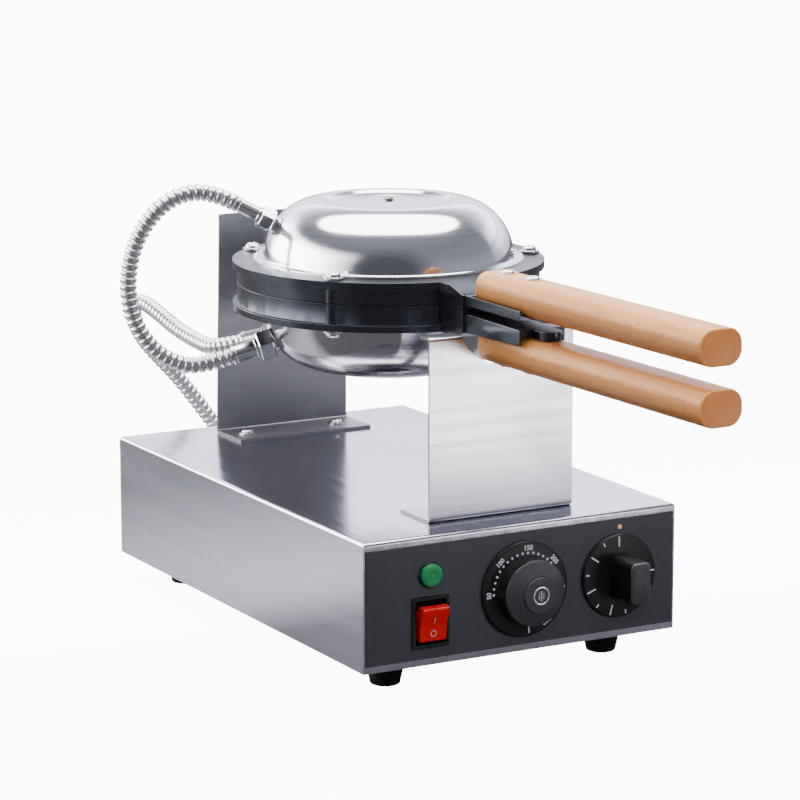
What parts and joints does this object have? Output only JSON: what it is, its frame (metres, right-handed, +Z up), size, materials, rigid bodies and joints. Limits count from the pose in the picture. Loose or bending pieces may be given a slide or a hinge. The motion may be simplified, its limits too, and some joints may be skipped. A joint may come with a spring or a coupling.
{
  "type": "bubble waffle maker",
  "caption": "Countertop flip-over bubble waffle maker: hinged cast mould with domed covers and wooden handles, turning between brackets on a stainless control base.",
  "frame": {"origin": "on the table, under the middle of the base housing's footprint", "axes": "+X to the right seen from the front, +Y to the back along the handles, +Z up"},
  "size_m": [0.3129, 0.7126, 0.3277],
  "materials": {
    "stainless": "fine brushed",
    "panel": "smooth satin black",
    "feet": "matt",
    "polished": "polished",
    "casting": "dark cast, non-stick plates",
    "beech": "oiled beech",
    "fastener": "bright",
    "bush": "plain bearing",
    "fitting": "bright plated",
    "hose": "flexible interlocked steel",
    "black_plastic": "moulded",
    "lens": "clear green",
    "rocker_red": "clear red",
    "ceramic": "glazed",
    "element": "heat stained"
  },
  "bodies": {
    "base": {"base_housing": "stainless", "base_plate": "stainless", "front_panel": "panel", "rubber_feet": "feet", "front_bracket": "stainless", "rear_bracket": "stainless", "bracket_bolts": "fastener", "swivel_bush": "bush", "switch_frame": "black_plastic", "lamp_bezel": "black_plastic", "lamp_lens": "lens", "thermostat_body": "black_plastic", "timer_body": "black_plastic", "terminal_block": "ceramic", "feed_gland_base": "fitting", "cable_gland": "black_plastic", "hose_feed": "hose"},
    "lower_half": {"mould_lower": "casting", "dome_lower": "polished", "element_lower": "element", "handle_lower": "beech", "swivel_shaft": "fastener", "swivel_nut": "fastener", "hinge_pin": "fastener", "link_gland_lower": "fitting", "feed_gland_dome": "fitting", "hose_link": "hose"},
    "upper_half": {"mould_upper": "casting", "dome_upper": "polished", "element_upper": "element", "handle_upper": "beech", "link_gland_upper": "fitting"},
    "switch_rocker": {"rocker": "rocker_red"},
    "temperature_control": {"temperature_knob": "black_plastic", "thermostat_shaft": "fastener"},
    "timer_control": {"timer_knob": "black_plastic", "timer_shaft": "fastener"}
  },
  "joints": [
    {"name": "mould_roll", "type": "hinge", "parent": "base", "child": "lower_half", "pos_m": [0, 0.172, 0.2525], "axis": [0, -1, 0], "range_deg": [-180, 0], "deforming": ["hose_feed"]},
    {"name": "mould_open", "type": "hinge", "parent": "lower_half", "child": "upper_half", "pos_m": [0, 0.1244, 0.2525], "axis": [-1, 0, 0], "range_deg": [0, 100], "deforming": ["hose_link"]},
    {"name": "switch_rock", "type": "hinge", "parent": "base", "child": "switch_rocker", "pos_m": [-0.074, -0.192, 0.051], "axis": [-1, 0, 0], "range_deg": [0, 22]},
    {"name": "temperature_turn", "type": "hinge", "parent": "base", "child": "temperature_control", "pos_m": [0, -0.2, 0.065], "axis": [0, 1, 0], "range_deg": [0, 270]},
    {"name": "timer_turn", "type": "hinge", "parent": "base", "child": "timer_control", "pos_m": [0.077, -0.2, 0.065], "axis": [0, 1, 0], "range_deg": [0, 285]}
  ]
}
